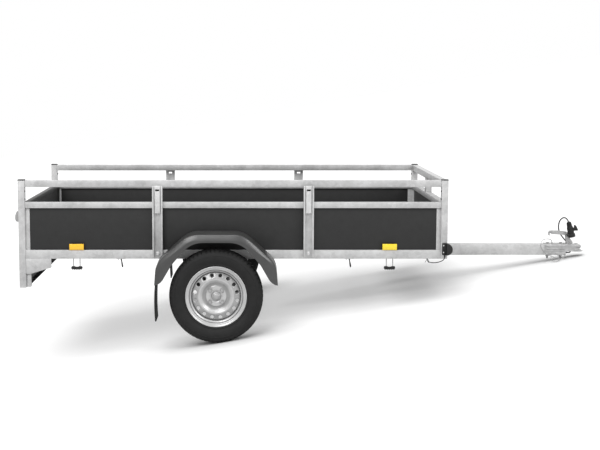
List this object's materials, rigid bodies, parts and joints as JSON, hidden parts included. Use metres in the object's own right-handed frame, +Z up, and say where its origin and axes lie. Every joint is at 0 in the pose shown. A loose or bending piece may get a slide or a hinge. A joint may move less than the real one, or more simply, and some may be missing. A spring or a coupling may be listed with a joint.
{
  "type": "utility trailer",
  "caption": "Single-axle open utility trailer with galvanised frame and rails, dark plywood sides, drop tailgate, plastic mudguards and a straight drawbar with ball coupling, parked nose-down.",
  "frame": {"origin": "middle of the box that the parked trailer fills without its cords, on the ground it stands on", "axes": "+X forward to the coupling, +Y to the trailer's left, +Z up; the bed is nose-down by 9.63 degrees because the trailer has no jack"},
  "size_m": [3.5808, 1.85, 1.1524],
  "materials": {
    "galvanised_steel": "hot-dip galvanised, soft spangle, satin",
    "plywood": "dark phenolic film on plywood",
    "black_plastic": "moulded polyethylene, fine grain",
    "black_steel": "dark grey powder coat",
    "black_rubber": "moulded rubber",
    "tyre": "matt tyre rubber",
    "wheel_silver": "silver wheel lacquer",
    "zinc": "zinc plated",
    "lamp_red": "red lens",
    "cable_black": "soft cable sheath",
    "wire_rope": "stranded steel, clear sheath",
    "reflector_amber": "prismatic amber"
  },
  "bodies": {
    "trailer": {"corner_posts": "galvanised_steel", "post_caps": "black_plastic", "top_rails": "galvanised_steel", "mid_rails": "galvanised_steel", "front_rails": "galvanised_steel", "sills": "galvanised_steel", "side_posts": "galvanised_steel", "spigots": "galvanised_steel", "side_panels": "plywood", "headboard": "plywood", "panel_channels": "galvanised_steel", "front_stay": "galvanised_steel", "floor_board": "plywood", "cross_members": "galvanised_steel", "drawbar": "galvanised_steel", "drawbar_plug": "black_plastic", "axle_beam": "galvanised_steel", "axle_brackets": "galvanised_steel", "axle_arms": "zinc", "mudguards": "black_plastic", "mudguard_stays": "galvanised_steel", "mudflaps": "black_rubber", "light_board": "black_steel", "board_ends": "galvanised_steel", "rear_lamps": "lamp_red", "rear_reflectors": "lamp_red", "gussets": "galvanised_steel", "side_reflectors": "reflector_amber", "marker_lamps": "black_plastic", "lashing_brackets": "galvanised_steel", "rope_hooks": "galvanised_steel", "gate_latches": "galvanised_steel", "coupling_head": "zinc", "coupling_bolts": "zinc", "coupling_handle": "zinc", "plug": "black_plastic", "plug_seat": "black_plastic", "electric_cable": "cable_black", "safety_cable": "wire_rope", "safety_loop": "wire_rope", "marker_cable": "cable_black", "hinge_brackets": "galvanised_steel"},
    "wheel_right": {"tyre_right": "tyre", "rim_right": "wheel_silver", "hub_right": "zinc"},
    "wheel_left": {"tyre_left": "tyre", "rim_left": "wheel_silver", "hub_left": "zinc"},
    "tailgate": {"tailgate_frame": "black_steel", "tailgate_board": "plywood", "gate_hinges": "galvanised_steel"}
  },
  "joints": [
    {"name": "wheel_right_spin", "type": "hinge", "parent": "trailer", "child": "wheel_right", "pos_m": [-0.6107, -0.845, 0.281], "axis": [0, 1, 0], "continuous": true},
    {"name": "wheel_left_spin", "type": "hinge", "parent": "trailer", "child": "wheel_left", "pos_m": [-0.6107, 0.845, 0.281], "axis": [0, 1, 0], "continuous": true},
    {"name": "tailgate_hinge", "type": "hinge", "parent": "trailer", "child": "tailgate", "pos_m": [-1.7512, 0, 0.67291], "axis": [0, -1, 0], "range_deg": [0, 180]}
  ]
}
